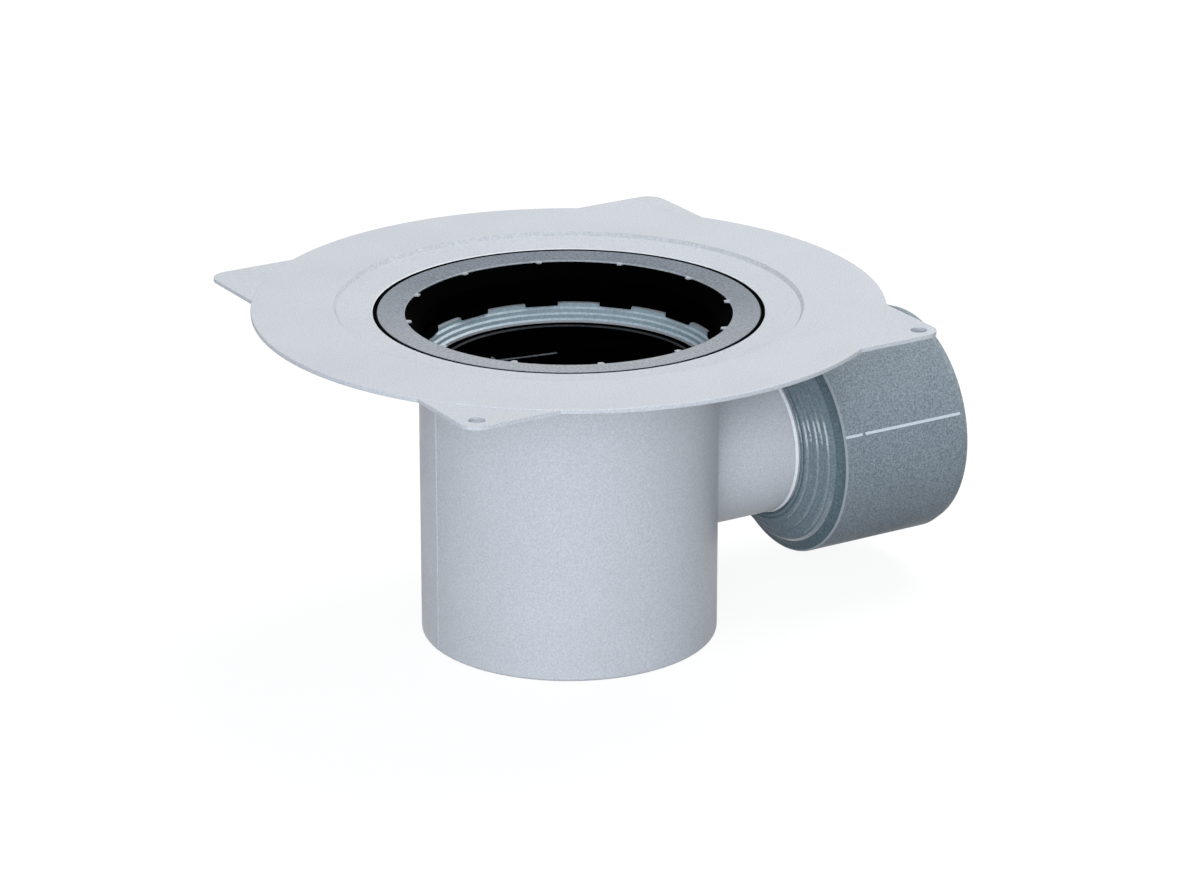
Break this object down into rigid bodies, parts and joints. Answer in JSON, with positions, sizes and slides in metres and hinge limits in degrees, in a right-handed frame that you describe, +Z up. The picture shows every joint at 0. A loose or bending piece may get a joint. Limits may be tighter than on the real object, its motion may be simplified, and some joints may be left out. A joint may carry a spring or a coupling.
{
  "type": "floor drain body with side outlet",
  "caption": "Round floor drain pot with a wide eared flange, riser seal, lift-out odour trap and a side outlet stub with a push-on adapter to a wider pipe.",
  "frame": {"origin": "centre of the pot's flat underside, on the pot's vertical axis", "axes": "+Z up along the pot's axis towards the flange, +X along the outlet, away from the pot"},
  "size_m": [0.23, 0.2, 0.1095],
  "materials": {
    "body_plastic": "satin, light grey",
    "ring_plastic": "matte, mid grey",
    "seal_rubber": "matte black",
    "trap_plastic": "satin black",
    "adapter_plastic": "satin, pipe grey"
  },
  "bodies": {
    "root": {"drain_body": "body_plastic", "retainer_ring": "ring_plastic", "riser_seal": "seal_rubber", "trap_funnel": "trap_plastic", "trap_o_ring": "seal_rubber", "trap_cup": "trap_plastic", "outlet_adapter": "adapter_plastic", "adapter_seal": "seal_rubber"}
  },
  "joints": []
}
